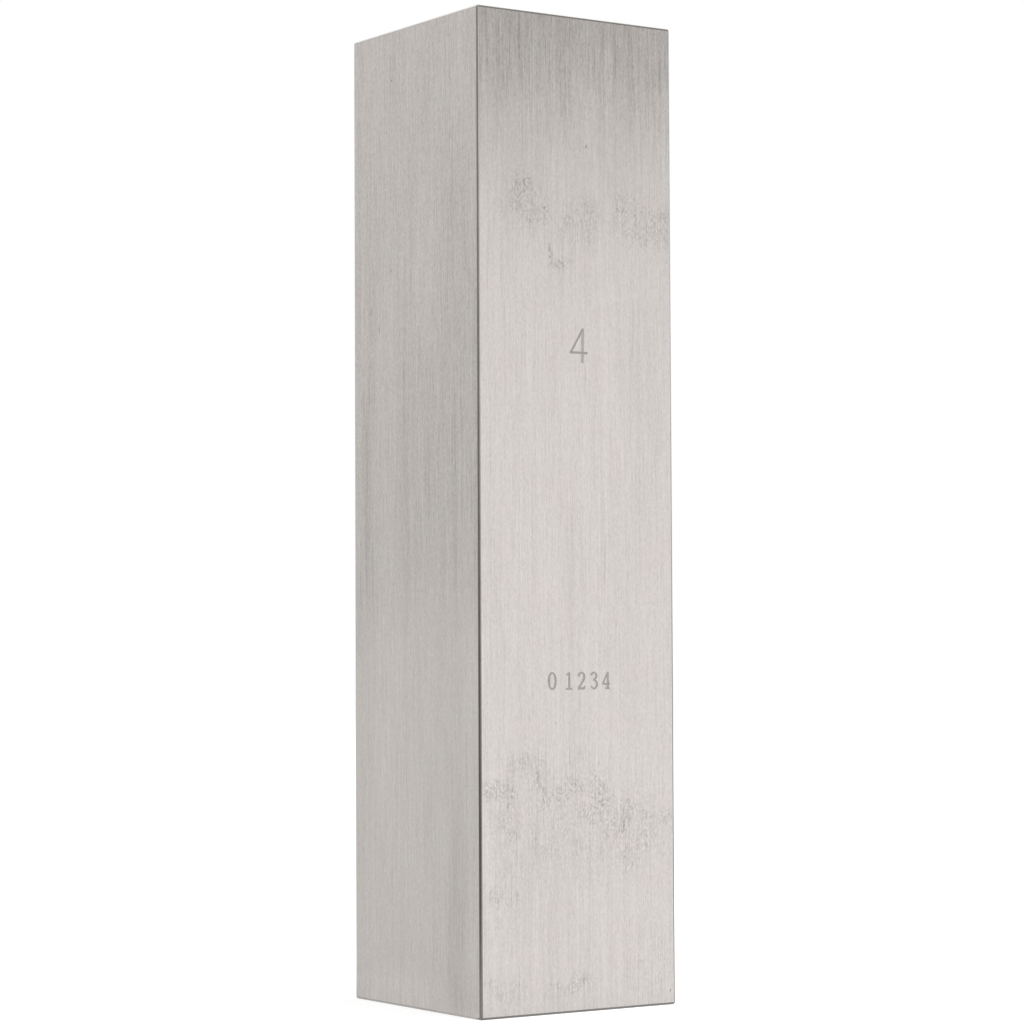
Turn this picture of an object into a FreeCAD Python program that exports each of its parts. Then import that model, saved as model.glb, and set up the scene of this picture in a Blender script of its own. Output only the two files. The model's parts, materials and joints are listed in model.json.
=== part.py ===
"""Square gauge block: one bar of hardened steel with two lapped measuring faces.

The block stands on one measuring face. The origin is the centre of that face, +Z runs along the
measured length, and the side that carries the marks faces -Y. All sizes are in millimetres.

The bar is padded from its square section, its long edges and its face edges are rounded, and the
tie-rod hole is cut by turning its profile, with a countersink at each end, about the block's axis.
"""

import FreeCAD
import Part
import Sketcher

import math
import os
from enum import IntEnum

# Alias, value and meaning of each driving size.
SIZES = (
    ("nominal_length", 101.6, "distance between the measuring faces, 4 in"),
    ("section_side", 24.13, "width of each side of the square section, 0.950 in"),
    ("long_edge_radius", 0.25, "rounding of the four long edges"),
    ("face_edge_radius", 0.25, "rounding around both measuring faces"),
    ("tie_hole_diameter", 6.731, "through hole for a tie rod, 0.265 in"),
    ("sink_diameter", 9.525, "mouth of the countersink in each measuring face, 0.375 in"),
    ("sink_angle", 82.0, "included angle of the countersinks, in degrees"),
)

PARTS_FOLDER = "parts"
FULL_TURN = 360.0
SAME_PLACE = 1e-6  # two coordinates closer than this are the same
VOLUME_SHARE = 1e-6  # a cut may miss its worked-out volume by this share


class End(IntEnum):
    """The ends of a sketch edge, as Sketcher numbers them."""

    FIRST = 1
    LAST = 2


class Fixed(IntEnum):
    """What every sketch has of its own, as Sketcher numbers it."""

    ORIGIN = -1
    VERTICAL_AXIS = -2


ORIGIN_POINT = (Fixed.ORIGIN, End.FIRST)


def add_sizes(doc):
    """Puts the driving sizes in a spreadsheet, one alias a row."""
    sheet = doc.addObject("Spreadsheet::Sheet", "Sizes")
    for row, (alias, value, meaning) in enumerate(SIZES, start=1):
        sheet.set(f"A{row}", alias)
        sheet.set(f"B{row}", str(value))
        sheet.set(f"C{row}", meaning)
        sheet.setAlias(f"B{row}", alias)
    doc.recompute()
    return sheet


def add_sketch(body, name, plane_role):
    """Adds a sketch on one of the body's own origin planes."""
    plane = next(item for item in body.Origin.OriginFeatures if item.Role == plane_role)
    sketch = body.newObject("Sketcher::SketchObject", name)
    sketch.AttachmentSupport = [(plane, "")]
    sketch.MapMode = "FlatFace"
    return sketch


def constrain(sketch, kind, *items):
    """Adds a constraint to a sketch and returns its number there."""
    return sketch.addConstraint(Sketcher.Constraint(kind, *items))


def add_closed_outline(sketch, corners):
    """Draws straight edges from corner to corner and back to the first, joined at their ends."""
    points = [FreeCAD.Vector(across, up, 0) for across, up in corners]
    for start, end in zip(points, points[1:] + points[:1]):
        sketch.addGeometry(Part.LineSegment(start, end), False)
    for edge in range(len(points)):
        following = (edge + 1) % len(points)
        constrain(sketch, "Coincident", edge, End.LAST, following, End.FIRST)


def drive(sketch, name, expression, kind, *items):
    """Adds a named dimension to a sketch and binds it to the spreadsheet."""
    number = constrain(sketch, kind, *items)
    sketch.renameConstraint(number, name)
    sketch.setExpression(f"Constraints.{name}", expression)


def add_bar(body, sizes):
    """Pads the square section, centred on the axis, to the nominal length."""
    half = sizes.section_side / 2
    sketch = add_sketch(body, "Section", "XY_Plane")
    add_closed_outline(sketch, [(-half, -half), (half, -half), (half, half), (-half, half)])
    front, right, back, left = range(4)
    constrain(sketch, "Horizontal", front)
    constrain(sketch, "Vertical", right)
    constrain(sketch, "Horizontal", back)
    constrain(sketch, "Vertical", left)
    constrain(sketch, "Equal", front, right)
    constrain(sketch, "Symmetric", front, End.FIRST, back, End.FIRST, *ORIGIN_POINT)
    ends = (front, End.FIRST, front, End.LAST)
    drive(sketch, "side", "Sizes.section_side", "DistanceX", *ends, sizes.section_side)

    bar = body.newObject("PartDesign::Pad", "Bar")
    bar.Profile = sketch
    bar.setExpression("Length", "Sizes.nominal_length")
    sketch.Visibility = False
    body.Document.recompute()
    return bar


def add_rounding(body, name, base, is_wanted, radius_alias):
    """Rounds those edges of a feature that a test on their end points picks out."""
    wanted = [
        f"Edge{number}"
        for number, edge in enumerate(base.Shape.Edges, start=1)
        if is_wanted([vertex.Point for vertex in edge.Vertexes])
    ]
    rounding = body.newObject("PartDesign::Fillet", name)
    rounding.Base = (base, wanted)
    rounding.setExpression("Radius", f"Sizes.{radius_alias}")
    body.Document.recompute()
    return rounding


def add_edge_roundings(body, bar, sizes):
    """Rounds the four long edges, and then the edges around both measuring faces."""

    def runs_along_the_block(points):
        return abs(points[0].z - points[-1].z) > SAME_PLACE

    def lies_in_a_measuring_face(points):
        heights = [point.z for point in points]
        flat = max(heights) - min(heights) < SAME_PLACE
        return flat and min(abs(heights[0]), abs(heights[0] - sizes.nominal_length)) < SAME_PLACE

    long_edges = add_rounding(body, "LongEdges", bar, runs_along_the_block, "long_edge_radius")
    return add_rounding(body, "FaceEdges", long_edges, lies_in_a_measuring_face, "face_edge_radius")


def hole_and_sink(sizes):
    """Radius of the tie-rod hole, radius of a countersink's mouth, and a countersink's depth."""
    hole_radius = sizes.tie_hole_diameter / 2
    sink_radius = sizes.sink_diameter / 2
    sink_depth = (sink_radius - hole_radius) / math.tan(math.radians(sizes.sink_angle / 2))
    return hole_radius, sink_radius, sink_depth


def add_tie_rod_hole(body, sizes):
    """Cuts the through hole and both countersinks by turning one profile about the axis."""
    hole_radius, sink_radius, sink_depth = hole_and_sink(sizes)
    top = sizes.nominal_length

    sketch = add_sketch(body, "TieRodHoleProfile", "XZ_Plane")
    corners = [
        (0, 0),
        (sink_radius, 0),
        (hole_radius, sink_depth),
        (hole_radius, top - sink_depth),
        (sink_radius, top),
        (0, top),
    ]
    add_closed_outline(sketch, corners)
    lower_mouth, lower_sink, wall, upper_sink, upper_mouth, axis = range(len(corners))
    constrain(sketch, "Coincident", lower_mouth, End.FIRST, *ORIGIN_POINT)
    constrain(sketch, "PointOnObject", axis, End.FIRST, Fixed.VERTICAL_AXIS)
    constrain(sketch, "Horizontal", lower_mouth)
    constrain(sketch, "Horizontal", upper_mouth)
    constrain(sketch, "Vertical", wall)
    constrain(sketch, "Equal", lower_mouth, upper_mouth)
    constrain(sketch, "Equal", lower_sink, upper_sink)

    ends = (axis, End.LAST, axis, End.FIRST)
    drive(sketch, "length", "Sizes.nominal_length", "DistanceY", *ends, top)
    ends = (lower_mouth, End.FIRST, lower_mouth, End.LAST)
    drive(sketch, "mouth_radius", "Sizes.sink_diameter / 2", "DistanceX", *ends, sink_radius)
    ends = (*ORIGIN_POINT, wall, End.FIRST)
    drive(sketch, "hole_radius", "Sizes.tie_hole_diameter / 2", "DistanceX", *ends, hole_radius)
    ends = (lower_sink, End.FIRST, lower_sink, End.LAST)
    depth = "(Sizes.sink_diameter - Sizes.tie_hole_diameter) / 2 / tan(Sizes.sink_angle / 2 * 1 deg)"
    drive(sketch, "sink_depth", depth, "DistanceY", *ends, sink_depth)

    hole = body.newObject("PartDesign::Groove", "TieRodHole")
    hole.Profile = sketch
    hole.ReferenceAxis = (sketch, ["V_Axis"])
    hole.Angle = FULL_TURN
    sketch.Visibility = False
    body.Document.recompute()
    return hole


def hole_volume(sizes):
    """Volume of the through hole with its two countersinks, worked out from the sizes."""
    hole_radius, sink_radius, sink_depth = hole_and_sink(sizes)
    wall = math.pi * hole_radius**2 * (sizes.nominal_length - 2 * sink_depth)
    squares = sink_radius**2 + sink_radius * hole_radius + hole_radius**2
    return wall + 2 * math.pi * sink_depth * squares / 3


def make_gauge_block(doc, sizes):
    """Builds the block, the one solid that the object is made of."""
    body = doc.addObject("PartDesign::Body", "GaugeBlock")
    body.Label = "gauge_block"
    bar = add_bar(body, sizes)
    rounded = add_edge_roundings(body, bar, sizes)
    hole = add_tie_rod_hole(body, sizes)

    removed = rounded.Shape.Volume - hole.Shape.Volume
    wanted = hole_volume(sizes)
    if abs(removed - wanted) > VOLUME_SHARE * wanted:
        raise RuntimeError(f"the tie-rod hole removed {removed:.3f} mm3 instead of {wanted:.3f}")
    return body


def check(doc, bodies):
    """Stops the build if a feature failed or a sub-part isn't one valid solid."""
    for item in doc.Objects:
        if {"Invalid", "Error"} & set(item.State):
            raise RuntimeError(f"{item.Name} failed: {item.State}")
    for body in bodies:
        shape = body.Shape
        if shape.isNull() or not shape.isValid() or len(shape.Solids) != 1:
            raise RuntimeError(f"{body.Label} isn't one valid solid")


def main():
    """Builds the document and writes each sub-part to its own STEP file."""
    doc = FreeCAD.newDocument("SquareGaugeBlock")
    sizes = add_sizes(doc)
    bodies = [make_gauge_block(doc, sizes)]
    check(doc, bodies)
    os.makedirs(PARTS_FOLDER, exist_ok=True)
    for body in bodies:
        body.Shape.exportStep(os.path.join(PARTS_FOLDER, f"{body.Label}.step"))
        box = body.Shape.BoundBox
        print(f"{body.Label}: {box.XLength:.3f} x {box.YLength:.3f} x {box.ZLength:.3f} mm")
        print(f"volume {body.Shape.Volume:.1f} mm3, {len(body.Shape.Faces)} faces")


main()
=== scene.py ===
"""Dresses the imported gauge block: its ground, lapped and engraved surfaces, and a small studio.

The block is modelled again around the CAD node's own box, with its rounded edges, its countersunk
tie-rod hole and the engraved figures cut as real recesses, so that one mesh stands for the one
piece of steel. Lengths are in metres unless a name ends in _mm.
"""

import json
import logging
import math
from dataclasses import dataclass, field
from enum import Enum
from functools import cached_property
from typing import Any, Sequence, Union

import bmesh
import bpy
from mathutils import Matrix, Vector
from mathutils.geometry import interpolate_bezier

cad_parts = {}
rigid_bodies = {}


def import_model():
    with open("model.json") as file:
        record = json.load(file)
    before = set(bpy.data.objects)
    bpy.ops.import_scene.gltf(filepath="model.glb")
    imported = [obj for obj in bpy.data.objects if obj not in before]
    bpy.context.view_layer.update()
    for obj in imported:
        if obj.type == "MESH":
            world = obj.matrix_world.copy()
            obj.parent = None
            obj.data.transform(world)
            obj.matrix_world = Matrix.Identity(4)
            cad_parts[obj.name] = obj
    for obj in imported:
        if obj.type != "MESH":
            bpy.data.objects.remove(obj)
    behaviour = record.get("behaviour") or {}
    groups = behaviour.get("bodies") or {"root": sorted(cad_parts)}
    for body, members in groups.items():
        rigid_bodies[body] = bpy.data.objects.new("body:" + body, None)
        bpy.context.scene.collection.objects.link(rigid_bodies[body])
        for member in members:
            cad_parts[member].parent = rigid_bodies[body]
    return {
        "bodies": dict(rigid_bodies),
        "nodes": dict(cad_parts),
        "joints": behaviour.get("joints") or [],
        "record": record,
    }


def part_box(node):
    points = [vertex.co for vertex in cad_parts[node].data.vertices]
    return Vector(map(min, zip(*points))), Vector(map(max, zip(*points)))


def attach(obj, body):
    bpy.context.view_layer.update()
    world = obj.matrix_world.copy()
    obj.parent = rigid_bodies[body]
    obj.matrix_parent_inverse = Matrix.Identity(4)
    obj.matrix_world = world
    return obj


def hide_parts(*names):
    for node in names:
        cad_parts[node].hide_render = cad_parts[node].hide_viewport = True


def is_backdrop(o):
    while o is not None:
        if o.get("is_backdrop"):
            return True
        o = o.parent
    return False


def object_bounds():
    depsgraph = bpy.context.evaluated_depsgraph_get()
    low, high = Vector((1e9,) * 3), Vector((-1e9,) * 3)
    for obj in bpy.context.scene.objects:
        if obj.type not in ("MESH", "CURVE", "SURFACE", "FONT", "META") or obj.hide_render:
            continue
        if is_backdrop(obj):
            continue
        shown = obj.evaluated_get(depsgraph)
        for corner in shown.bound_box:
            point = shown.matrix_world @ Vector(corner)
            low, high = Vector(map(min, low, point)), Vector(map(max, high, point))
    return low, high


LOG = logging.getLogger("gauge_block")

MM = 0.001
WHITE = (1.0, 1.0, 1.0)

# Where a patch fades out and where it is full, in shares of its half width and half height.
PATCH_RIM = 1.3
PATCH_CORE = 0.3

ROUND_STEPS = 96  # steps in a full turn
NICK_TIP = 0.4  # width of a nick's ends, as a share of its middle's
GROOVE_FLOOR = 0.75  # width of a groove's floor, as a share of its width just above the face
SAME_PLACE = 1e-7  # points closer than this are one
SQUARE_ON = 0.9999  # a normal whose share along an axis is more than this points along it

Socket = bpy.types.NodeSocket
Feed = Union[float, Sequence[float], Socket]
Colour = tuple[float, float, float]


class Side(Enum):
    """The side faces that the eye meets first."""

    MARKED = "front"
    PLAIN = "left"


class Pen(Enum):
    """How many points a stroke of a figure has from one of its knots to the next."""

    STRAIGHT = 2
    CURVED = 6


# ---- Node building ----


class NodeBench:
    """Adds and joins the nodes of one material or world."""

    def __init__(self, tree: bpy.types.NodeTree) -> None:
        """Starts from an empty tree.

        Args:
            tree: The node tree to build in.
        """
        self.tree = tree
        self.tree.nodes.clear()

    def add(
        self, kind: str, feeds: dict[Any, Feed] | None = None, **settings: Any
    ) -> bpy.types.Node:
        """Adds a node.

        Args:
            kind: The node's type name, without its "ShaderNode" beginning.
            feeds: A value or a socket for each named or numbered input.
            **settings: Values for the node's own properties.

        Returns:
            The new node.
        """
        node = self.tree.nodes.new("ShaderNode" + kind)
        for name, value in settings.items():
            setattr(node, name, value)
        for name, value in (feeds or {}).items():
            self.feed(node.inputs[name], value)
        return node

    def feed(self, target: Socket, value: Feed) -> None:
        """Gives an input a value, or joins it to an output."""
        if isinstance(value, bpy.types.NodeSocket):
            self.tree.links.new(value, target)
        elif isinstance(value, (int, float)):
            target.default_value = value
        elif len(value) == 3 and len(target.default_value) == 4:
            target.default_value = (*value, 1.0)
        else:
            target.default_value = value

    def maths(self, operation: str, *values: Feed) -> Socket:
        """Adds a Math node on one or two values and returns its result."""
        return self.add("Math", dict(enumerate(values)), operation=operation).outputs[0]

    def vector(self, operation: str, *values: Feed) -> Socket:
        """Adds a Vector Math node and returns its vector."""
        node = self.add("VectorMath", dict(enumerate(values)), operation=operation)
        return node.outputs["Vector"]

    def measure(self, operation: str, *values: Feed) -> Socket:
        """Adds a Vector Math node and returns its number, such as a length."""
        node = self.add("VectorMath", dict(enumerate(values)), operation=operation)
        return node.outputs["Value"]

    def total(self, first: Feed, *others: Feed) -> Feed:
        """Adds up any number of values."""
        result = first
        for value in others:
            result = self.maths("ADD", result, value)
        return result

    def fade(
        self, value: Feed, start: float, end: float, low: float = 0.0, high: float = 1.0
    ) -> Socket:
        """Turns a value smoothly from one level into another.

        Args:
            value: What is measured.
            start: The value at which the result is still low.
            end: The value from which the result is high. It may lie below start.
            low: The result at start.
            high: The result at end.

        Returns:
            The eased result.
        """
        if end < start:
            start, end, low, high = end, start, high, low
        feeds = {"Value": value, "From Min": start, "From Max": end, "To Min": low, "To Max": high}
        return self.add("MapRange", feeds, interpolation_type="SMOOTHSTEP").outputs["Result"]

    def noise(self, place: Socket, pitch: Sequence[float], detail: float, rough: float) -> Socket:
        """Adds a noise that may be stretched.

        Args:
            place: The coordinate to read.
            pitch: Features for each unit of the coordinate, along X, Y and Z.
            detail: Octaves on top of the first.
            rough: The share that each octave keeps of the one before.

        Returns:
            A value around 0.5.
        """
        stretched = self.vector("MULTIPLY", place, tuple(pitch))
        feeds = {"Vector": stretched, "Scale": 1.0, "Detail": detail, "Roughness": rough}
        return self.add("TexNoise", feeds).outputs["Fac"]

    def swing(self, value: Feed, reach: float) -> Socket:
        """Centres a noise value on zero and scales it."""
        feeds = {0: value, 1: reach, 2: -0.5 * reach}
        return self.add("Math", feeds, operation="MULTIPLY_ADD").outputs[0]

    def tint(self, colour: Feed, factor: Feed) -> Socket:
        """Multiplies a colour or another vector by a number."""
        feeds = {0: colour, "Scale": factor}
        return self.add("VectorMath", feeds, operation="SCALE").outputs["Vector"]

    def product(self, *values: Feed) -> Socket:
        """Multiplies two values."""
        return self.maths("MULTIPLY", *values)

    def bump(self, height: Socket, depth: float) -> Socket:
        """Raises and sinks the surface by a height from 0 to 1, over a depth in metres."""
        feeds = {"Height": height, "Distance": depth, "Strength": 1.0}
        return self.add("Bump", feeds).outputs[0]

    @cached_property
    def place(self) -> Socket:
        """Object coordinates, in millimetres."""
        return self.tint(self.add("TexCoord").outputs["Object"], 1.0 / MM)

    def finish(self, shader: Socket) -> None:
        """Joins a shader to a material's output."""
        self.tree.links.new(shader, self.add("OutputMaterial").inputs["Surface"])


def new_material(name: str) -> tuple[bpy.types.Material, NodeBench]:
    """Makes an empty node material.

    Args:
        name: The material's name.

    Returns:
        The material and a bench for its nodes.
    """
    material = bpy.data.materials.new(name)
    material.use_nodes = True
    return material, NodeBench(material.node_tree)


def new_object(
    name: str, bm: bmesh.types.BMesh, *materials: bpy.types.Material
) -> bpy.types.Object:
    """Makes an object, not yet in any collection, of a shape.

    Args:
        name: The name of the object and of its mesh.
        bm: The shape, which is used up.
        *materials: Its finishes.

    Returns:
        The object.
    """
    mesh = bpy.data.meshes.new(name)
    bm.to_mesh(mesh)
    bm.free()
    for material in materials:
        mesh.materials.append(material)
    return bpy.data.objects.new(name, mesh)


def put(item: bpy.types.Object) -> None:
    """Puts an object in the scene."""
    bpy.context.scene.collection.objects.link(item)


# ---- Finishes ----


@dataclass(frozen=True)
class Grain:
    """A stretched noise, with features for each millimetre along X, Y and Z.

    The reach is how far it moves a value in all, the detail is its octaves on top of the first, and
    rough is the share that each octave keeps of the one before.
    """

    pitch: tuple[float, float, float]
    reach: float = 1.0
    detail: float = 2.0
    rough: float = 0.5

    def read(self, bench: NodeBench, place: Socket | None = None) -> Socket:
        """Reads the noise at the surface, or at another place, as a value around 0.5."""
        return bench.noise(place or bench.place, self.pitch, self.detail, self.rough)

    def swing(self, bench: NodeBench) -> Socket:
        """Reads the noise centred on zero and scaled to its reach."""
        return bench.swing(self.read(bench), self.reach)


@dataclass(frozen=True)
class Patch:
    """A soft oval on a side face, in millimetres across and up the face.

    The strength is how dull a stain is, or what a streak adds to the shade.
    """

    across: float
    up: float
    half_width: float
    half_height: float
    strength: float

    def cover(self, bench: NodeBench, place: Socket, side: Side) -> Socket:
        """Works out how strongly the patch covers a place.

        Args:
            bench: The bench of the material.
            place: The coordinate in millimetres.
            side: The face that the patch lies on.

        Returns:
            The patch's strength in its middle, easing to zero at its rim.
        """
        if side is Side.MARKED:
            centre = (self.across, 0.0, self.up)
            squeeze = (1.0 / self.half_width, 0.0, 1.0 / self.half_height)
        else:
            centre = (0.0, self.across, self.up)
            squeeze = (0.0, 1.0 / self.half_width, 1.0 / self.half_height)
        offset = bench.vector("MULTIPLY", bench.vector("SUBTRACT", place, centre), squeeze)
        away = bench.measure("LENGTH", offset)
        return bench.fade(away, PATCH_RIM, PATCH_CORE, 0.0, self.strength)


def patches(*rows: tuple[float, float, float, float, float]) -> tuple[Patch, ...]:
    """Makes patches from their numbers."""
    return tuple(Patch(*row) for row in rows)


STAINS = patches(
    # The band above the size figure.
    (-6.8, 83.0, 1.1, 2.0, 0.9),
    (-6.4, 82.1, 3.1, 3.3, 0.7),
    (-4.4, 80.6, 1.3, 1.2, 0.5),
    (-3.6, 81.3, 0.5, 0.9, 0.6),
    (-1.1, 81.7, 1.0, 1.4, 0.5),
    (1.8, 81.6, 2.2, 1.7, 0.55),
    (0.0, 79.3, 3.4, 2.4, 0.45),
    (-3.3, 76.5, 0.5, 1.3, 1.0),
    (-1.9, 76.0, 1.4, 0.6, 0.9),
    (5.3, 82.3, 0.8, 2.0, 0.7),
    (7.4, 81.0, 2.9, 3.4, 0.65),
    (8.0, 79.0, 1.4, 1.0, 0.4),
    (11.0, 80.3, 1.7, 2.6, 0.7),
    # The band below the number, which runs down to the right.
    (-10.8, 22.7, 1.5, 1.4, 0.9),
    (-8.6, 22.6, 1.3, 1.5, 0.7),
    (-9.4, 19.8, 2.4, 3.2, 0.22),
    (-6.4, 25.0, 0.8, 1.7, 0.8),
    (-7.6, 25.2, 1.6, 1.3, 0.45),
    (0.6, 25.0, 3.6, 1.6, 0.3),
    (-4.8, 24.0, 0.9, 3.4, 0.9),
    (-3.2, 21.9, 1.9, 1.0, 0.85),
    (-0.5, 22.8, 2.0, 1.0, 0.6),
    (2.4, 22.5, 1.3, 1.9, 0.75),
    (1.7, 20.2, 1.6, 1.5, 0.7),
    (3.6, 21.0, 1.2, 1.2, 0.4),
    (6.0, 19.8, 1.7, 1.6, 0.62),
    (4.7, 18.3, 1.6, 1.5, 0.45),
    (8.5, 17.5, 1.4, 1.4, 0.45),
    (8.4, 20.0, 1.0, 1.0, 0.5),
    (10.7, 19.6, 1.2, 1.0, 0.9),
    (6.3, 15.6, 2.2, 1.8, 0.4),
    (0.0, 18.6, 15.0, 6.0, 0.4),
    # The faint mottling down to the foot.
    (-10.2, 12.0, 0.9, 1.2, 0.6),
    (-7.8, 12.0, 0.7, 0.9, 0.5),
    (-9.0, 11.0, 4.0, 5.0, 0.2),
    (0.0, 3.1, 1.8, 1.5, 0.8),
    (-2.6, 2.6, 2.2, 1.2, 0.4),
    (-10.8, 3.3, 0.9, 1.0, 0.6),
    (-8.4, 2.6, 2.6, 1.4, 0.5),
    (9.0, 5.0, 3.5, 4.5, 0.25),
)

MARKED_TONES = patches(
    # Darker and lighter streaks at the top end.
    (-7.7, 97.0, 2.3, 6.0, -0.055),
    (-6.9, 85.5, 1.2, 5.5, -0.03),
    (-9.8, 93.5, 0.8, 7.0, -0.05),
    (-1.7, 99.5, 1.1, 3.0, -0.04),
    (5.0, 97.5, 0.4, 6.0, -0.07),
    (7.1, 95.5, 0.6, 6.5, -0.08),
    (10.3, 96.3, 2.2, 1.8, -0.06),
    (2.2, 93.0, 1.8, 8.0, 0.012),
    (-4.3, 95.5, 0.5, 6.0, 0.03),
    (-2.3, 86.0, 2.2, 3.2, 0.03),
    (11.2, 87.0, 1.2, 5.0, 0.02),
    (-11.7, 80.0, 0.7, 8.0, 0.04),
    # Long faint bands lower down.
    (9.0, 64.0, 3.2, 15.0, -0.03),
    (1.6, 58.0, 1.6, 16.0, 0.008),
    (-0.9, 44.0, 0.5, 9.0, -0.04),
    (-11.8, 36.0, 0.6, 5.0, 0.05),
    (-11.6, 17.5, 0.8, 4.0, 0.04),
    (0.0, 8.0, 18.0, 14.0, -0.035),
)

PLAIN_TONES = patches(
    (9.6, 52.0, 0.9, 15.0, -0.085),
    (8.2, 40.0, 0.5, 9.0, -0.06),
    (11.3, 41.0, 1.0, 6.0, -0.06),
    (-7.6, 52.0, 0.5, 11.0, -0.085),
    (-2.5, 53.0, 0.5, 9.0, -0.05),
    (1.9, 46.0, 0.7, 18.0, -0.045),
    (-7.5, 74.0, 3.0, 15.0, -0.035),
    (-11.5, 60.0, 1.0, 24.0, -0.07),
    (-7.7, 9.0, 2.2, 13.0, -0.075),
    # Painted light: a lighter band along the foot, where the face reflects the bright table.
    (1.5, -0.5, 10.5, 4.5, 0.14),
    (5.4, 45.0, 2.8, 44.0, 0.03),
    (-1.5, 78.0, 3.2, 10.0, 0.018),
    (-10.8, 34.0, 1.3, 8.0, 0.045),
    (0.0, 27.0, 18.0, 17.0, 0.05),
    (0.0, 54.0, 18.0, 15.0, -0.04),
)


def steel_shader(
    bench: NodeBench,
    colour: Feed,
    roughness: Feed,
    bump: Socket | None = None,
    anisotropy: float = 0.0,
    tangent: Socket | None = None,
    metallic: float = 1.0,
) -> Socket:
    """Adds the shader that all the steel surfaces share.

    Args:
        bench: The bench of the material.
        colour: The metal's colour.
        roughness: The metal's roughness.
        bump: The surface normal, if the finish has one of its own.
        anisotropy: How far the gloss is drawn out across the grain.
        tangent: The direction across the grain.
        metallic: How bare the metal is under its skin.

    Returns:
        The shader's output.
    """
    feeds: dict[Any, Feed] = {"Base Color": colour, "Roughness": roughness, "Metallic": metallic}
    if bump is not None:
        feeds["Normal"] = bump
    if tangent is not None:
        feeds["Anisotropic"] = anisotropy
        feeds["Tangent"] = tangent
    return bench.add("BsdfPrincipled", feeds).outputs["BSDF"]


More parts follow.
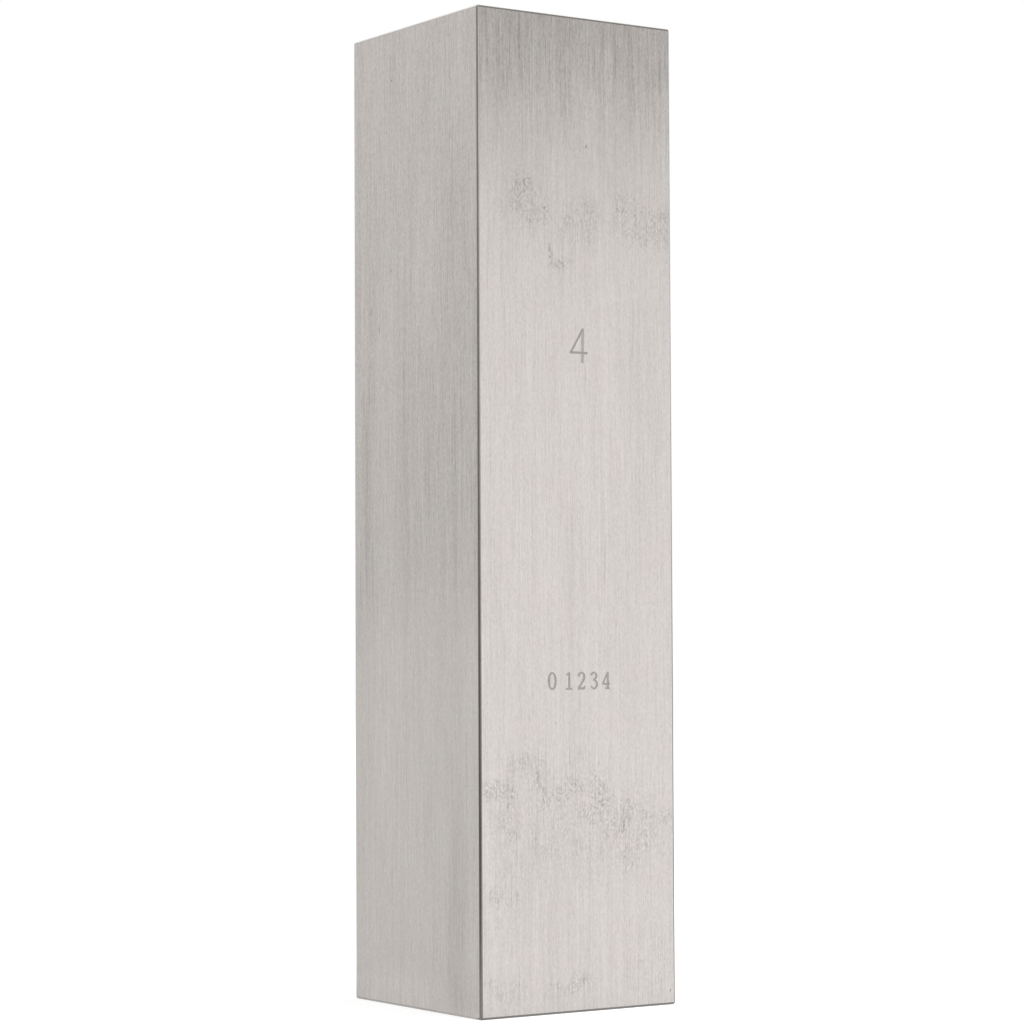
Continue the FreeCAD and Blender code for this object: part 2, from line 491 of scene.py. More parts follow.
@dataclass(frozen=True)
class GroundFinish:
    """The side faces: surface-ground lengthwise, with old stains and fine wear.

    Near the top of the marked face they carry a painted reflection, and along the plain face's foot
    a painted light.
    """

    half_side: float
    height: float
    name: str = "ground_side"
    colour: Colour = (0.697, 0.657, 0.627)
    roughness: float = 0.28
    line_roughness: float = 0.06
    stain_roughness: float = 0.05
    anisotropy: float = 0.75
    marked_share: float = 0.52
    plain_share: float = 0.9
    foot_share: float = 0.58
    painted_top_share: float = 0.42
    stain_share: float = 0.35
    lines: Grain = Grain((8.5, 8.5, 0.5), 0.34, 1.0, 0.6)
    streaks: Grain = Grain((7.5, 7.5, 0.09), 0.34, 1.0, 0.6)
    ticks: Grain = Grain((9.5, 9.5, 3.2), 0.42, 0.0)
    scratches: Grain = Grain((4.5, 4.5, 0.1), 0.12, 1.0)
    bands: Grain = Grain((0.9, 0.9, 0.035), 0.07)
    broad: Grain = Grain((0.22, 0.22, 0.03), 0.06, 1.0)
    warmth: Grain = Grain((0.25, 0.25, 0.25), 0.05)
    painted_reflection_bands: Grain = Grain((0.42, 0.42, 0.02), 0.12)
    painted_reflection_lines: Grain = Grain((1.9, 1.9, 0.06), 0.12, 2.0, 0.6)
    sway: Grain = Grain((0.5, 0.5, 0.05), 1.2)
    breaks: Grain = Grain((2.6, 2.6, 0.12), rough=0.6)
    mottle: Grain = Grain((1.4, 1.4, 0.9), rough=0.6)
    grit: Grain = Grain((6.5, 6.5, 4.2), 0.78, 1.0)
    pores: Grain = Grain((4.4, 4.4, 2.8), detail=1.0)
    speck_depth: float = 0.13
    fleck_depth: float = 0.1
    stain_depth: float = 0.08
    stain_wander_mm: float = 0.8
    groove_depth: float = 0.0009 * MM
    face_reach_mm: float = 0.12

    def material(self) -> bpy.types.Material:
        """Builds the finish.

        Returns:
            The material.
        """
        material, bench = new_material(self.name)
        axes = bench.add("SeparateXYZ", {0: bench.place}).outputs
        skin = self.face_reach_mm - self.half_side / MM
        marked = bench.maths("LESS_THAN", axes["Y"], skin)
        plain = bench.maths("LESS_THAN", axes["X"], skin)
        grain, lines = self.ground(bench)
        dull, marks = self.stained(bench, marked)
        tall = self.height / MM
        # Painted reflection: towards the top of the marked face the grain is painted stronger and
        # long bands are painted, standing in for the wavering reflection of the tent's grey area.
        painted_reflection_top = bench.product(bench.fade(axes["Z"], 0.84 * tall, 0.97 * tall), marked)
        calm = bench.fade(axes["Z"], 0.65 * tall, 0.2 * tall, self.plain_share, self.foot_share)
        share = bench.total(
            bench.add("Mix", {"Factor": marked, "A": calm, "B": self.marked_share}).outputs[0],
            bench.product(painted_reflection_top, self.painted_top_share),
            bench.product(dull, self.stain_share),
        )
        shade = bench.total(
            1.0,
            bench.product(grain, share),
            self.bands.swing(bench),
            self.broad.swing(bench),
            bench.product(self.painted_top_reflection(bench), painted_reflection_top),
            self.toned(bench, Side.MARKED, marked, MARKED_TONES),
            self.toned(bench, Side.PLAIN, plain, PLAIN_TONES),
            marks,
        )
        warm = bench.vector("MULTIPLY", self.warmth.swing(bench), (0.0, 1.0, 0.8))
        colour = bench.vector("MULTIPLY", self.colour, bench.vector("ADD", warm, WHITE))
        shaded = bench.tint(colour, shade)
        roughness = bench.total(
            self.roughness,
            bench.swing(lines, self.line_roughness),
            bench.product(dull, self.stain_roughness),
        )
        bump = bench.bump(lines, self.groove_depth)
        tangent = bench.add("Tangent", direction_type="RADIAL", axis="Z").outputs[0]
        bench.finish(steel_shader(bench, shaded, roughness, bump, self.anisotropy, tangent))
        return material

    def ground(self, bench: NodeBench) -> tuple[Socket, Socket]:
        """Works out the marks of the grinding wheel.

        Args:
            bench: The bench of the material.

        Returns:
            What the grain adds to the shade, and the height of its lines.
        """
        lines = self.lines.read(bench)
        scratches = self.scratches.read(bench)
        grain = bench.total(
            bench.swing(lines, self.lines.reach),
            self.streaks.swing(bench),
            self.ticks.swing(bench),
            bench.fade(scratches, 0.64, 0.72, 0.0, -self.scratches.reach),
        )
        return grain, lines

    def painted_top_reflection(self, bench: NodeBench) -> Socket:
        """Works out the painted reflection near the top: long bands that stand in for the wavering
        reflection of the tent's grey area.

        Args:
            bench: The bench of the material.

        Returns:
            What the bands add to the shade.
        """
        lines = self.painted_reflection_lines.read(bench)
        fine = bench.fade(lines, 0.52, 0.68, 0.0, -self.painted_reflection_lines.reach)
        return bench.maths("ADD", self.painted_reflection_bands.swing(bench), fine)

    def toned(
        self, bench: NodeBench, side: Side, on_face: Socket, tones: Sequence[Patch]
    ) -> Socket:
        """Works out the long lighter and darker streaks of one side face.

        Args:
            bench: The bench of the material.
            side: The face.
            on_face: One on that face.
            tones: The streaks.

        Returns:
            What they add to the shade.
        """
        sway = bench.vector("MULTIPLY", self.sway.swing(bench), (1.0, 1.0, 0.0))
        moved = bench.vector("ADD", bench.place, sway)
        broken = bench.fade(self.breaks.read(bench), 0.3, 0.7, 0.55, 1.45)
        tone = bench.total(*(patch.cover(bench, moved, side) for patch in tones))
        return bench.product(bench.product(tone, broken), on_face)

    def stained(self, bench: NodeBench, marked: Socket) -> tuple[Socket, Socket]:
        """Works out where the metal is dull, and what the stains add to the shade.

        Args:
            bench: The bench of the material.
            marked: One on the marked face.

        Returns:
            The dullness from 0 to 1, and the change of shade.
        """
        wander = bench.add("TexNoise", {"Vector": bench.place, "Scale": 0.8, "Detail": 3.0})
        centred = bench.vector("SUBTRACT", wander.outputs["Color"], (0.5, 0.5, 0.5))
        moved = bench.vector("ADD", bench.place, bench.tint(centred, 2 * self.stain_wander_mm))
        stains = bench.total(*(stain.cover(bench, moved, Side.MARKED) for stain in STAINS))
        covered = bench.maths("MINIMUM", stains, 1.0)
        mottle = bench.fade(self.mottle.read(bench), 0.35, 0.65, 0.45, 1.1)
        dull = bench.product(covered, bench.product(mottle, marked))
        pores = self.pores.read(bench)
        speck = bench.fade(pores, 0.52, 0.64, 0.0, -self.speck_depth)
        fleck = bench.fade(pores, 0.42, 0.34, 0.0, self.fleck_depth)
        change = bench.total(-self.stain_depth, self.grit.swing(bench), speck, fleck)
        return dull, bench.product(dull, change)


@dataclass(frozen=True)
class StonedFinish:
    """The rounded edges: broken with a stone, and coloured with painted shade.

    Their colour is darker than the faces' to paint the dark reflections along them, and on the
    marked side it is painted darker still towards the foot.
    """

    half_side: float
    height: float
    name: str = "stoned_edge"
    # Painted shade: darker than the faces' steel, to paint the dark reflections along the edges.
    colour: Colour = (0.54, 0.51, 0.49)
    roughness: float = 0.2
    # How dark the painted shade leaves the marked side's edges at the foot.
    foot_share: float = 0.45
    wear: Grain = Grain((1.2, 1.2, 0.6), 0.4, 3.0, 0.6)
    scratches: Grain = Grain((9.0, 9.0, 4.0), 0.2, 1.0)

    def material(self) -> bpy.types.Material:
        """Builds the finish.

        Returns:
            The material.
        """
        material, bench = new_material(self.name)
        axes = bench.add("SeparateXYZ", {0: bench.place}).outputs
        tall, skin = self.height / MM, self.half_side / MM
        # Painted shade: the edges on the marked side are painted darker towards the foot, standing
        # in for the dark reflection of the camera side and the floor.
        low_down = bench.fade(axes["Z"], 0.92 * tall, 0.12 * tall)
        on_marked_side = bench.fade(axes["Y"], 1.0 - skin, 0.35 - skin)
        painted_shade_mask = bench.product(low_down, on_marked_side)
        painted_edge_shade = bench.total(1.0, bench.product(painted_shade_mask, self.foot_share - 1.0))
        wear = self.wear.read(bench)
        scratches = self.scratches.swing(bench)
        shade = bench.total(1.0, bench.swing(wear, self.wear.reach), scratches)
        roughness = bench.total(self.roughness, bench.swing(wear, 0.16))
        colour = bench.tint(self.colour, bench.product(shade, painted_edge_shade))
        bench.finish(steel_shader(bench, colour, roughness))
        return material


@dataclass(frozen=True)
class LappedFinish:
    """The measuring faces: lapped nearly to a mirror, with crossing hairlines."""

    name: str = "lapped_face"
    colour: Colour = (0.62, 0.60, 0.585)
    roughness: float = 0.09
    haze: Grain = Grain((0.16, 0.16, 0.16), 0.08, 3.0, 0.6)
    hairline: Grain = Grain((0.09, 3.4, 1.0), detail=1.0, rough=0.6)
    hairline_angles_deg: tuple[float, ...] = (12.0, 58.0, 101.0, 151.0)
    hairline_depth: float = 0.0004 * MM

    def material(self) -> bpy.types.Material:
        """Builds the finish.

        Returns:
            The material.
        """
        material, bench = new_material(self.name)
        lines = bench.total(*(self.hairlines(bench, turn) for turn in self.hairline_angles_deg))
        haze = self.haze.swing(bench)
        roughness = bench.total(self.roughness, haze, bench.product(lines, 0.07))
        shade = bench.total(1.0, haze, bench.product(lines, -0.05))
        bump = bench.bump(lines, self.hairline_depth)
        bench.finish(steel_shader(bench, bench.tint(self.colour, shade), roughness, bump))
        return material

    def hairlines(self, bench: NodeBench, angle_deg: float) -> Socket:
        """Draws one family of fine straight lines.

        Args:
            bench: The bench of the material.
            angle_deg: The lines' direction in the face.

        Returns:
            One on a line and zero between lines.
        """
        feeds = {"Vector": bench.place, "Angle": math.radians(angle_deg)}
        turned = bench.add("VectorRotate", feeds)
        return bench.fade(self.hairline.read(bench, turned.outputs[0]), 0.62, 0.70)


@dataclass(frozen=True)
class BoredFinish:
    """The tie-rod hole and its countersinks: drilled before hardening, and left dark."""

    name: str = "bored_hole"
    colour: Colour = (0.36, 0.34, 0.325)
    roughness: float = 0.42
    metallic: float = 0.45
    rings: Grain = Grain((0.12, 0.12, 5.5), 0.5, 2.0, 0.6)
    scale: Grain = Grain((0.8, 0.8, 0.5), 0.6, 3.0, 0.6)
    ring_depth: float = 0.006 * MM

    def material(self) -> bpy.types.Material:
        """Builds the finish.

        Returns:
            The material.
        """
        material, bench = new_material(self.name)
        rings = self.rings.read(bench)
        scale = self.scale.read(bench)
        uneven = (bench.swing(rings, self.rings.reach), bench.swing(scale, self.scale.reach))
        shade = bench.total(1.0, *uneven)
        roughness = bench.total(self.roughness, bench.swing(scale, 0.2))
        bump = bench.bump(rings, self.ring_depth)
        colour = bench.tint(self.colour, shade)
        bench.finish(steel_shader(bench, colour, roughness, bump, metallic=self.metallic))
        return material


@dataclass(frozen=True)
class EngravedFinish:
    """The floor of a mark: cut metal, with painted shade that makes it darker the deeper it lies.
    """

    half_side: float
    name: str = "engraved_mark"
    colour: Colour = (0.46, 0.431, 0.41)
    roughness: float = 0.5
    shallow_painted_light: float = 1.35
    shallow_mm: float = 0.013
    deep_mm: float = 0.022
    burr: Grain = Grain((7.0, 7.0, 7.0), 0.5, 2.0, 0.6)
    burr_depth: float = 0.004 * MM

    def material(self) -> bpy.types.Material:
        """Builds the finish.

        Returns:
            The material.
        """
        material, bench = new_material(self.name)
        depths = bench.add("SeparateXYZ", {0: bench.place}).outputs["Y"]
        sunk = bench.total(depths, self.half_side / MM)
        # Painted shade: the floor is painted lighter where the cut is shallow and darker where it
        # is deep.
        bite = bench.fade(sunk, self.shallow_mm, self.deep_mm, self.shallow_painted_light, 1.0)
        burr = self.burr.read(bench)
        shade = bench.product(bite, bench.total(1.0, bench.swing(burr, self.burr.reach)))
        bump = bench.bump(burr, self.burr_depth)
        bench.finish(steel_shader(bench, bench.tint(self.colour, shade), self.roughness, bump))
        return material


# ---- Marks and the block ----


@dataclass(frozen=True)
class Stroke:
    """One pass of the engraving point, in shares of the figure's height.

    The weights are the stroke's width at each point, in shares of the figure's heaviest stroke,
    and the bite is its share of the mark's depth.
    """

    points: tuple[tuple[float, float], ...]
    weights: tuple[float, ...] = (1.0, 1.0)
    pen: Pen = Pen.STRAIGHT
    closed: bool = False
    bite: float = 1.0

    def path(self) -> list[tuple[Vector, float]]:
        """Runs along the stroke.

        Returns:
            Points with the stroke's width at each, close enough together for a smooth curve.
        """
        knots = [Vector((*place, weight)) for place, weight in zip(self.points, self.weights)]
        if self.pen is Pen.CURVED:
            knots = self.rounded(knots)
        return [(Vector((knot.x, knot.y)), knot.z) for knot in knots]

    def rounded(self, knots: list[Vector]) -> list[Vector]:
        """Puts a smooth curve through points.

        Args:
            knots: The points.

        Returns:
            The points with others between them.
        """
        count = len(knots)
        spans = count if self.closed else count - 1
        smooth = []
        for number in range(spans):
            start, end = knots[number], knots[(number + 1) % count]
            before = knots[number - 1] if number or self.closed else start
            after = knots[(number + 2) % count] if number < spans - 1 or self.closed else end
            leave, arrive = start + (end - before) / 6, end - (after - start) / 6
            smooth.extend(interpolate_bezier(start, leave, arrive, end, self.pen.value)[:-1])
        if not self.closed:
            smooth.append(knots[-1])
        return smooth


class Figure(Enum):
    """The figures that are engraved, each as its strokes."""

    PLAIN_FOUR = (
        Stroke(((0.455, 1.0), (0.025, 0.305)), (0.8, 0.8)),
        Stroke(((-0.02, 0.3), (0.62, 0.3)), (0.85, 0.85)),
        Stroke(((0.45, 1.02), (0.43, 0.0)), (1.2, 1.2), bite=0.68),
    )
    ZERO = (
        Stroke(
            (
                *((0.06, 0.5), (0.14, 0.86), (0.3, 0.97), (0.46, 0.86)),
                *((0.54, 0.5), (0.46, 0.14), (0.3, 0.03), (0.14, 0.14)),
            ),
            (1.1, 0.95, 0.75, 0.95, 1.1, 0.95, 0.75, 0.95),
            Pen.CURVED,
            True,
        ),
    )
    ONE = (
        Stroke(((0.31, 1.0), (0.31, 0.0))),
        Stroke(((0.31, 0.97), (0.11, 0.84)), (0.9, 0.7)),
        Stroke(((0.08, 0.03), (0.54, 0.03)), (0.75, 0.75)),
    )
    TWO = (
        Stroke(
            (
                *((0.1, 0.76), (0.18, 0.93), (0.34, 0.97), (0.49, 0.86)),
                *((0.48, 0.62), (0.28, 0.3), (0.08, 0.05)),
            ),
            (1.1, 0.9, 0.75, 1.0, 1.1, 0.9, 0.8),
            Pen.CURVED,
        ),
        Stroke(((0.05, 0.045), (0.51, 0.045)), (0.95, 0.95)),
        Stroke(((0.5, 0.02), (0.54, 0.2)), (0.8, 0.6)),
    )
    THREE = (
        Stroke(
            ((0.1, 0.82), (0.18, 0.94), (0.32, 0.97), (0.46, 0.86), (0.43, 0.65), (0.24, 0.54)),
            (1.0, 0.8, 0.75, 1.05, 1.0, 0.7),
            Pen.CURVED,
        ),
        Stroke(
            ((0.24, 0.54), (0.44, 0.46), (0.51, 0.26), (0.42, 0.08), (0.24, 0.03), (0.09, 0.17)),
            (0.7, 1.0, 1.1, 0.9, 0.75, 1.0),
            Pen.CURVED,
        ),
    )
    FOUR = (
        Stroke(((0.41, 1.0), (0.05, 0.3)), (0.75, 0.75)),
        Stroke(((0.03, 0.29), (0.57, 0.29)), (0.8, 0.8)),
        Stroke(((0.41, 1.0), (0.41, 0.0)), (1.1, 1.1)),
        Stroke(((0.25, 0.03), (0.55, 0.03)), (0.75, 0.75)),
    )


@dataclass(frozen=True)
class Mark:
    """A row of figures on the marked face."""

    name: str
    figures: tuple[Figure, ...]
    starts: tuple[float, ...]
    foot: float
    height: float
    stroke_width: float
    depth: float

    def cut(self, workshop: "Workshop") -> None:
        """Makes a cutter for each stroke.

        Args:
            workshop: Where the cutters are made.
        """
        for start, figure in zip(self.starts, self.figures):
            corner = Vector((start, self.foot))
            for stroke in figure.value:
                path = [
                    (corner + place * self.height, weight * self.stroke_width)
                    for place, weight in stroke.path()
                ]
                depth = self.depth * stroke.bite
                workshop.groove(self.name, Side.MARKED, path, depth, stroke.closed)


@dataclass(frozen=True)
class Nick:
    """A small dent or scratch in a side face, in millimetres across and up the face."""

    side: Side
    across: float
    up: float
    along: float
    rise: float
    width: float = 0.14
    depth: float = 0.03

    def cut(self, workshop: "Workshop") -> None:
        """Makes the nick's cutter.

        Args:
            workshop: Where the cutter is made.
        """
        middle = Vector((self.across, self.up)) * MM
        run = Vector((self.along, self.rise)) * MM
        width = self.width * MM
        path = [
            (middle - run / 2, width * NICK_TIP),
            (middle, width),
            (middle + run / 2, width * NICK_TIP),
        ]
        workshop.groove("nick", self.side, path, self.depth * MM, False)


NICKS = (
    Nick(Side.MARKED, 1.25, 88.3, 0.04, 0.34, 0.18),
    Nick(Side.MARKED, -2.85, 29.3, 0.05, 0.22),
    Nick(Side.MARKED, 6.6, 14.6, 0.2, 0.7, 0.08, 0.02),
    Nick(Side.MARKED, 11.35, 1.5, 0.15, 0.3),
    Nick(Side.MARKED, -7.0, 82.7, 0.6, 0.9, 0.07, 0.02),
    Nick(Side.MARKED, -3.4, 77.6, 0.05, 0.9, 0.1, 0.02),
    Nick(Side.MARKED, -7.65, 12.1, 0.25, 0.5, 0.12, 0.02),
    Nick(Side.PLAIN, 4.3, 96.3, 0.2, 0.2, 0.2),
    Nick(Side.PLAIN, 4.5, 76.3, 0.05, 0.3),
    Nick(Side.PLAIN, 6.9, 70.3, 0.05, 0.3),
    Nick(Side.PLAIN, 8.8, 66.5, 0.05, 0.25),
    Nick(Side.PLAIN, 8.5, 72.4, 0.02, 0.8, 0.1),
)


@dataclass
class Workshop:
    """Makes the shapes that are cut out of the block."""

    reach: float
    materials: dict[str, bpy.types.Material]
    cutters: bpy.types.Collection = field(init=False)

    def __post_init__(self) -> None:
        """Opens a collection for the cutters."""
        self.cutters = bpy.data.collections.new("cutters")

    def keep(self, name: str, bm: bmesh.types.BMesh, finish: str) -> None:
        """Puts a cutter with the finish that it leaves behind among the others.

        Args:
            name: The cutter's name.
            bm: Its shape, which is used up.
            finish: The name of the finish that the cut gets.
        """
        bmesh.ops.recalc_face_normals(bm, faces=bm.faces)
        self.cutters.objects.link(new_object(name, bm, self.materials[finish]))

    def spot(self, side: Side, where: Vector, out: float) -> Vector:
        """Finds a point on or near a side face.

        Args:
            side: The face.
            where: Across and up the face.
            out: How far the point stands out of the face.

        Returns:
            The point.
        """
        if side is Side.MARKED:
            return Vector((where.x, -self.reach - out, where.y))
        return Vector((-self.reach - out, where.x, where.y))

    def groove(
        self,
        name: str,
        side: Side,
        path: Sequence[tuple[Vector, float]],
        depth: float,
        closed: bool,
    ) -> None:
        """Makes the cutter of one groove, with a flat floor and slightly sloping walls.

        Args:
            name: The cutter's name.
            side: The face that it cuts.
            path: Points across and up the face, each with the groove's width there.
            depth: The groove's depth.
            closed: Whether the groove ends where it starts.
        """
        bm = bmesh.new()
        rings = []
        for number, (where, width) in enumerate(path):
            before = path[number - 1][0] if number or closed else where
            after = path[(number + 1) % len(path)][0] if number < len(path) - 1 or closed else where
            along = (after - before).normalized()
            sideways = Vector((-along.y, along.x)) * width / 2
            inner = GROOVE_FLOOR * sideways
            corners = ((sideways, depth), (-sideways, depth), (-inner, -depth), (inner, -depth))
            ring = [bm.verts.new(self.spot(side, where + step, out)) for step, out in corners]
            rings.append([bm.edges.new(pair) for pair in zip(ring, ring[1:] + ring[:1])])
        following = rings[1:] + rings[:1] if closed else rings[1:]
        for ring, other in zip(rings, following):
            bmesh.ops.bridge_loops(bm, edges=ring + other)
        if not closed:
            bmesh.ops.contextual_create(bm, geom=rings[0])
            bmesh.ops.contextual_create(bm, geom=rings[-1])
        self.keep(name, bm, "engraved")

    def tie_rod_hole(
        self, foot: Vector, top: float, radius: float, sink_radius: float, sink_depth: float
    ) -> None:
        """Turns the cutter of the hole and of both countersinks.

        Args:
            foot: The middle of the lower face.
            top: The height of the upper face.
            radius: The hole's radius.
            sink_radius: A countersink's radius at the face.
            sink_depth: A countersink's depth.
        """
        spare_radius = 2 * sink_radius - radius
        profile = [
            (0.0, -sink_depth),
            (spare_radius, -sink_depth),
            (radius, sink_depth),
            (radius, top - sink_depth),
            (spare_radius, top + sink_depth),
            (0.0, top + sink_depth),
        ]
        bm = bmesh.new()
        points = [bm.verts.new(foot + Vector((across, 0.0, up))) for across, up in profile]
        edges = [bm.edges.new(pair) for pair in zip(points, points[1:])]
        bmesh.ops.spin(
            bm,
            geom=points + edges,
            cent=foot,
            axis=(0.0, 0.0, 1.0),
            angle=math.tau,
            steps=ROUND_STEPS,
            use_merge=True,
        )
        bmesh.ops.remove_doubles(bm, verts=bm.verts, dist=SAME_PLACE)
        self.keep("tie_rod_hole", bm, "bored")


@dataclass
class GaugeBlock:
    """The block itself: one piece of steel with its marks."""

    edge_radius: float = 0.25 * MM
    edge_steps: int = 8
    sink_radius: float = 4.7625 * MM
    sink_angle_deg: float = 82.0
    sharp_angle_deg: float = 32.0
    marks: tuple[Mark, ...] = (
        Mark(
            name="size_figure",
            figures=(Figure.PLAIN_FOUR,),
            starts=(-0.86 * MM,),
            foot=65.98 * MM,
            height=3.5 * MM,
            stroke_width=0.32 * MM,
            depth=0.025 * MM,
        ),
        Mark(
            name="number",
            figures=(Figure.ZERO, Figure.ONE, Figure.TWO, Figure.THREE, Figure.FOUR),
            starts=(-3.80 * MM, -1.73 * MM, -0.20 * MM, 1.38 * MM, 2.90 * MM),
            foot=32.69 * MM,
            height=1.72 * MM,
            stroke_width=0.29 * MM,
            depth=0.025 * MM,
        ),
    )
    nicks: tuple[Nick, ...] = NICKS

    def build(self, frame: dict[str, Any]) -> bpy.types.Object:
        """Makes the finished block in place of the CAD node.

        Args:
            frame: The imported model.

        Returns:
            The block.
        """
        low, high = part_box("gauge_block")
        half_side, height = (high.x - low.x) / 2, high.z - low.z
        bore = next(mount for mount in frame["record"]["mounts"] if mount["name"] == "tie_rod_hole")
        materials = {
            "ground": GroundFinish(half_side, height).material(),
            "stoned": StonedFinish(half_side, height).material(),
            "lapped": LappedFinish().material(),
            "bored": BoredFinish().material(),
            "engraved": EngravedFinish(half_side).material(),
        }
        workshop = Workshop(half_side, materials)
        block = self.blank(low, high, materials)
        radius = bore["dims"]["r_mm"] * MM
        sink_depth = (self.sink_radius - radius) / math.tan(math.radians(self.sink_angle_deg / 2))
        foot = Vector(((low.x + high.x) / 2, (low.y + high.y) / 2, low.z))
        workshop.tie_rod_hole(foot, high.z, radius, self.sink_radius, sink_depth)
        for cut in (*self.marks, *self.nicks):
            cut.cut(workshop)
        finished = self.machine(block, workshop)
        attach(finished, "root")
        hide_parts("gauge_block")
        return finished

    def blank(
        self, low: Vector, high: Vector, materials: dict[str, bpy.types.Material]
    ) -> bpy.types.Object:
        """Makes the bar with its rounded edges, before anything is cut into it.

        Args:
            low: The bar's lowest corner.
            high: The bar's highest corner.
            materials: The finishes by name.

        Returns:
            The bar.
        """
        bm = bmesh.new()
        bmesh.ops.create_cube(bm, size=1.0)
        bmesh.ops.scale(bm, vec=high - low, verts=bm.verts)
        bmesh.ops.translate(bm, vec=(low + high) / 2, verts=bm.verts)
        bmesh.ops.bevel(
            bm,
            geom=list(bm.edges),
            offset=self.edge_radius,
            offset_type="OFFSET",
            segments=self.edge_steps,
            profile=0.5,
            affect="EDGES",
            material=-1,
        )
        bmesh.ops.recalc_face_normals(bm, faces=bm.faces)
        slots = list(materials)
        for face in bm.faces:
            finish = "stoned"
            if abs(face.normal.z) > SQUARE_ON:
                finish = "lapped"
            elif max(abs(face.normal.x), abs(face.normal.y)) > SQUARE_ON:
                finish = "ground"
            face.material_index = slots.index(finish)
        block = new_object("block", bm, *materials.values())
        put(block)
        return block

    def machine(self, block: bpy.types.Object, workshop: Workshop) -> bpy.types.Object:
        """Cuts everything out of the bar and evens out its shading.

        Args:
            block: The bar.
            workshop: The workshop that holds the cutters.

        Returns:
            The same object with its final mesh.
        """
        bpy.context.scene.collection.children.link(workshop.cutters)
        cut = block.modifiers.new("cut", "BOOLEAN")
        cut.operation = "DIFFERENCE"
        cut.operand_type = "COLLECTION"
        cut.collection = workshop.cutters
        cut.solver = "EXACT"
        cut.material_mode = "TRANSFER"
        self.apply_modifiers(block)
        for cutter in list(workshop.cutters.objects):
            bpy.data.objects.remove(cutter)
        bpy.data.collections.remove(workshop.cutters)
        mesh = block.data
        mesh.shade_smooth()
        mesh.set_sharp_from_angle(angle=math.radians(self.sharp_angle_deg))
        even = block.modifiers.new("even", "WEIGHTED_NORMAL")
        even.mode = "FACE_AREA"
        even.weight = 100
        even.keep_sharp = True
        self.apply_modifiers(block)
        block.data.name = block.name
        return block

    @staticmethod
    def apply_modifiers(block: bpy.types.Object) -> None:
        """Turns an object's modifiers into its mesh."""
        bpy.context.view_layer.update()
        graph = bpy.context.evaluated_depsgraph_get()
        evaluated = block.evaluated_get(graph)
        mesh = bpy.data.meshes.new_from_object(
            evaluated, preserve_all_data_layers=True, depsgraph=graph
        )
        block.modifiers.clear()
        old = block.data
        block.data = mesh
        bpy.data.meshes.remove(old)


# ---- Studio ----


def direction(azimuth_deg: float, elevation_deg: float) -> Vector:
    """The unit vector from the block towards a place in the studio.

    Args:
        azimuth_deg: Zero in front of the marked face, growing towards +X.
        elevation_deg: Above the level of the block's middle.

    Returns:
        The unit vector.
    """
    azimuth, elevation = math.radians(azimuth_deg), math.radians(elevation_deg)
    level = math.cos(elevation)
    return Vector((math.sin(azimuth) * level, -math.cos(azimuth) * level, math.sin(elevation)))


@dataclass(frozen=True)
class Shade:
    """A soft grey area in the walls of the light tent."""

    azimuth_deg: float
    elevation_deg: float
    full_deg: float
    fade_deg: float
    level: float


@dataclass(frozen=True)
class Softbox:
    """A square area lamp that looks at the block."""

    name: str
    azimuth_deg: float
    elevation_deg: float
    distance: float
    size: float
    power: float
    mirrored: bool


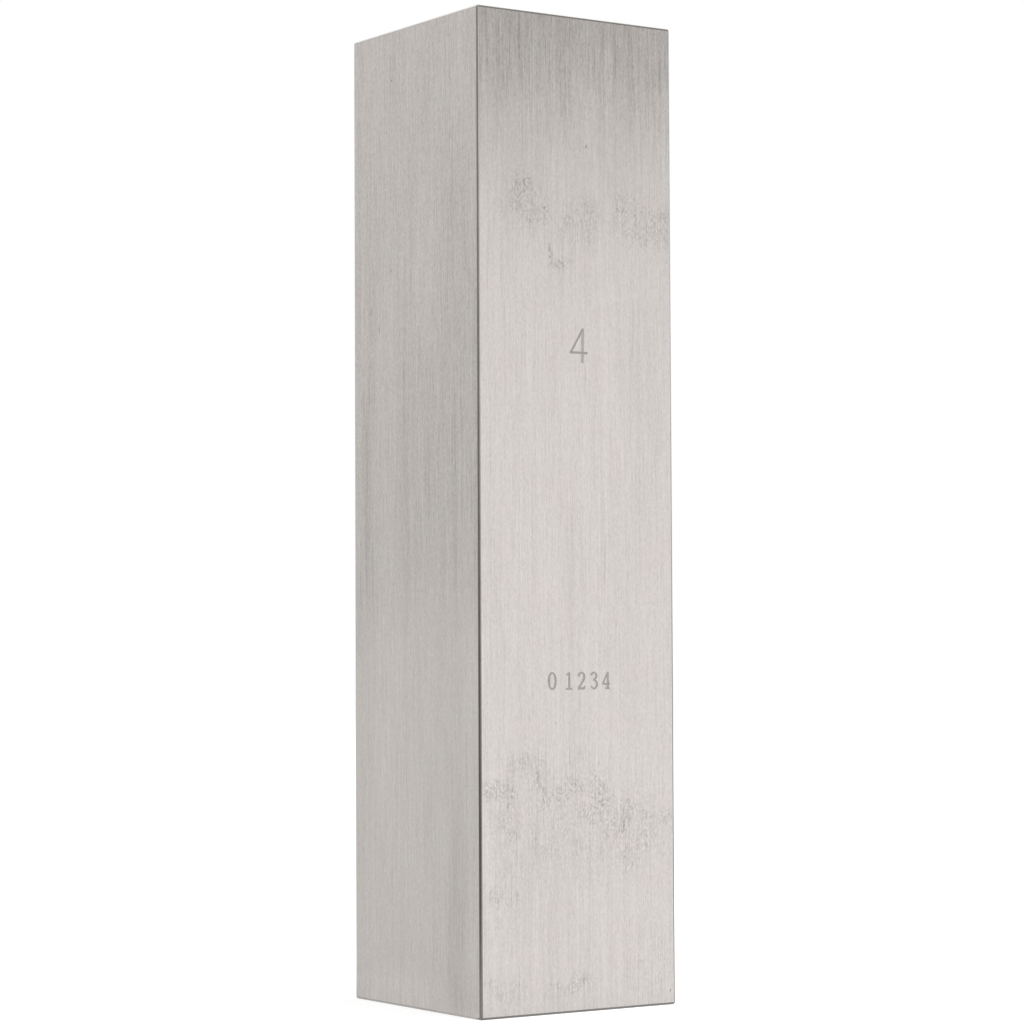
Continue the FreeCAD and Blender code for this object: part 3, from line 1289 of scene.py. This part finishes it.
@dataclass(frozen=True)
class Studio:
    """A white table in a light tent, around the block's middle."""

    middle: Vector
    floor_radius: float = 1.6
    floor_white: float = 0.8
    camera_white: float = 0.5
    camera_glow: float = 0.72
    mirror_white: float = 0.1
    mirror_glow: float = 0.88
    # How dark the painted contact shadow makes the table in reflections, and how far it reaches.
    contact_shade: float = 0.93
    contact_reach: float = 0.045
    tent_radius: float = 0.3
    ambient: float = 0.6
    shades: tuple[Shade, ...] = (
        Shade(-66.0, 4.0, 32.0, 53.0, 0.33),
        Shade(34.0, 50.3, 24.0, 41.0, 0.365),
        Shade(-155.0, -30.0, 55.0, 75.0, 0.765),
    )
    lamps: tuple[Softbox, ...] = (
        Softbox("key_softbox", 50.0, 62.0, 0.8, 0.5, 7.0, False),
        Softbox("back_softbox", -172.0, 40.0, 0.9, 0.4, 0.25, True),
    )

    def build(self) -> None:
        """Sets up the floor, the tent, the lamps and the white surround."""
        self.floor()
        self.tent()
        for lamp in self.lamps:
            self.lamp(lamp)
        self.surround()
        bpy.context.scene.view_settings.view_transform = "Standard"

    def gauze(self, bench: NodeBench) -> Feed:
        """Works out how bright the tent's wall is behind a place.

        Args:
            bench: The bench of the material.

        Returns:
            The brightness, where bare white is one.
        """
        place = bench.add("TexCoord").outputs["Object"]
        outward = bench.vector("NORMALIZE", bench.vector("SUBTRACT", place, tuple(self.middle)))
        level: Feed = 1.0
        for shade in self.shades:
            towards = direction(shade.azimuth_deg, shade.elevation_deg)
            nearness = bench.measure("DOT_PRODUCT", outward, tuple(towards))
            rim = math.cos(math.radians(shade.fade_deg))
            core = math.cos(math.radians(shade.full_deg))
            level = bench.product(level, bench.fade(nearness, rim, core, 1.0, shade.level))
        return level

    def floor(self) -> None:
        """Lays the table top, which fades into the white surround."""
        bm = bmesh.new()
        bmesh.ops.create_circle(bm, cap_ends=True, radius=self.floor_radius, segments=ROUND_STEPS)
        material, bench = new_material("table_white")
        rays = bench.add("LightPath").outputs
        camera, mirror = rays["Is Camera Ray"], rays["Is Glossy Ray"]
        place = bench.add("TexCoord").outputs["Object"]
        away = bench.measure("DISTANCE", place, tuple(self.middle))
        out = bench.measure("LENGTH", place)
        # Painted shade: in reflections, the table inside the tent is painted darker towards the
        # tent's grey areas and, as a painted contact shadow, close to the block.
        inside = bench.product(mirror, bench.maths("LESS_THAN", away, self.tent_radius))
        painted_contact_shadow = bench.fade(out, self.contact_reach, 0.0, 1.0, self.contact_shade)
        light = bench.product(self.gauze(bench), painted_contact_shadow)
        painted_shade_loss = bench.product(inside, bench.maths("SUBTRACT", 1.0, light))
        level = bench.maths("SUBTRACT", 1.0, painted_shade_loss)
        white = bench.total(
            self.floor_white,
            bench.product(camera, self.camera_white - self.floor_white),
            bench.product(mirror, self.mirror_white - self.floor_white),
        )
        glow = bench.total(
            bench.product(camera, self.camera_glow), bench.product(mirror, self.mirror_glow)
        )
        paper = bench.add("BsdfDiffuse", {"Color": bench.tint(WHITE, bench.product(white, level))})
        lit = bench.add("Emission", {"Strength": bench.product(glow, level)})
        table = bench.add("AddShader", {0: paper.outputs[0], 1: lit.outputs[0]})
        rim = bench.fade(out, 0.45 * self.floor_radius, 0.95 * self.floor_radius)
        clear = bench.add("BsdfTransparent").outputs[0]
        bench.finish(bench.add("MixShader", {0: rim, 1: table.outputs[0], 2: clear}).outputs[0])
        floor = new_object("floor", bm, material)
        put(floor)
        floor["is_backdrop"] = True

    def tent(self) -> None:
        """Hangs the light tent, a gauze that only reflections show."""
        bm = bmesh.new()
        bmesh.ops.create_icosphere(bm, subdivisions=4, radius=self.tent_radius)
        bmesh.ops.translate(bm, vec=self.middle, verts=bm.verts)
        material, bench = new_material("tent_gauze")
        shaded = bench.tint(WHITE, self.gauze(bench))
        bench.finish(bench.add("BsdfTransparent", {"Color": shaded}).outputs[0])
        tent = new_object("light_tent", bm, material)
        put(tent)
        tent.visible_camera = False
        tent.visible_diffuse = False
        tent.visible_transmission = False
        tent.visible_shadow = False
        tent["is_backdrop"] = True

    def lamp(self, box: Softbox) -> None:
        """Places one lamp, which looks at the block.

        Args:
            box: The lamp's sizes and place.
        """
        light = bpy.data.lights.new(box.name, "AREA")
        light.shape = "SQUARE"
        light.size = box.size
        light.energy = box.power
        lamp = bpy.data.objects.new(box.name, light)
        towards = direction(box.azimuth_deg, box.elevation_deg)
        lamp.location = self.middle + towards * box.distance
        lamp.rotation_euler = (-towards).to_track_quat("-Z", "Y").to_euler()
        lamp.visible_camera = False
        lamp.visible_glossy = box.mirrored
        put(lamp)

    def surround(self) -> None:
        """Makes the surround white to look at and in reflections, and a soft light otherwise."""
        world = bpy.data.worlds.new("surround")
        world.use_nodes = True
        bpy.context.scene.world = world
        bench = NodeBench(world.node_tree)
        rays = bench.add("LightPath").outputs
        kinds = ("Is Camera Ray", "Is Glossy Ray", "Is Transmission Ray")
        seen = bench.total(*(rays[kind] for kind in kinds))
        strength = bench.fade(bench.maths("MINIMUM", seen, 1.0), 0.0, 1.0, self.ambient, 1.0)
        sky = bench.add("Background", {"Color": WHITE, "Strength": strength}).outputs[0]
        bench.tree.links.new(sky, bench.add("OutputWorld").inputs["Surface"])


@dataclass(frozen=True)
class Viewpoint:
    """Where the camera stands and what it looks at, from the block's middle."""

    middle: Vector
    azimuth_deg: float = -33.82
    elevation_deg: float = -2.36
    distance: float = 328.46 * MM
    aim_above_middle: float = 0.37 * MM
    lens: float = 109.8
    sensor: float = 36.0
    roll_deg: float = -0.25

    def build(self) -> None:
        """Puts up the camera."""
        data = bpy.data.cameras.new("camera")
        data.lens = self.lens
        data.sensor_width = self.sensor
        data.clip_start = 0.01
        camera = bpy.data.objects.new("camera", data)
        aim = self.middle + Vector((0.0, 0.0, self.aim_above_middle))
        back = direction(self.azimuth_deg, self.elevation_deg)
        camera.location = aim + back * self.distance
        turn = (-back).to_track_quat("-Z", "Y").to_matrix()
        roll = Matrix.Rotation(math.radians(self.roll_deg), 3, "Z")
        camera.rotation_euler = (turn @ roll).to_euler()
        put(camera)
        bpy.context.scene.camera = camera


def report(piece: bpy.types.Object) -> None:
    """Logs a piece's size and whether its mesh is closed."""
    bm = bmesh.new()
    bm.from_mesh(piece.data)
    open_edges = sum(1 for edge in bm.edges if not edge.is_manifold)
    triangles = sum(len(face.verts) - 2 for face in bm.faces)
    bm.free()
    size = " x ".join(f"{length / MM:.2f}" for length in piece.dimensions)
    LOG.info("%s: %s mm, %d triangles, %d open edges", piece.name, size, triangles, open_edges)


def main() -> None:
    """Builds the block, the studio and the camera."""
    logging.basicConfig(level=logging.INFO, format="%(name)s: %(message)s")
    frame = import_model()
    frame_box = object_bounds()
    low, high = frame_box
    middle = (Vector(low) + Vector(high)) / 2

    block = GaugeBlock().build(frame)
    report(block)
    Studio(middle).build()
    Viewpoint(middle).build()


if __name__ == "__main__":
    main()
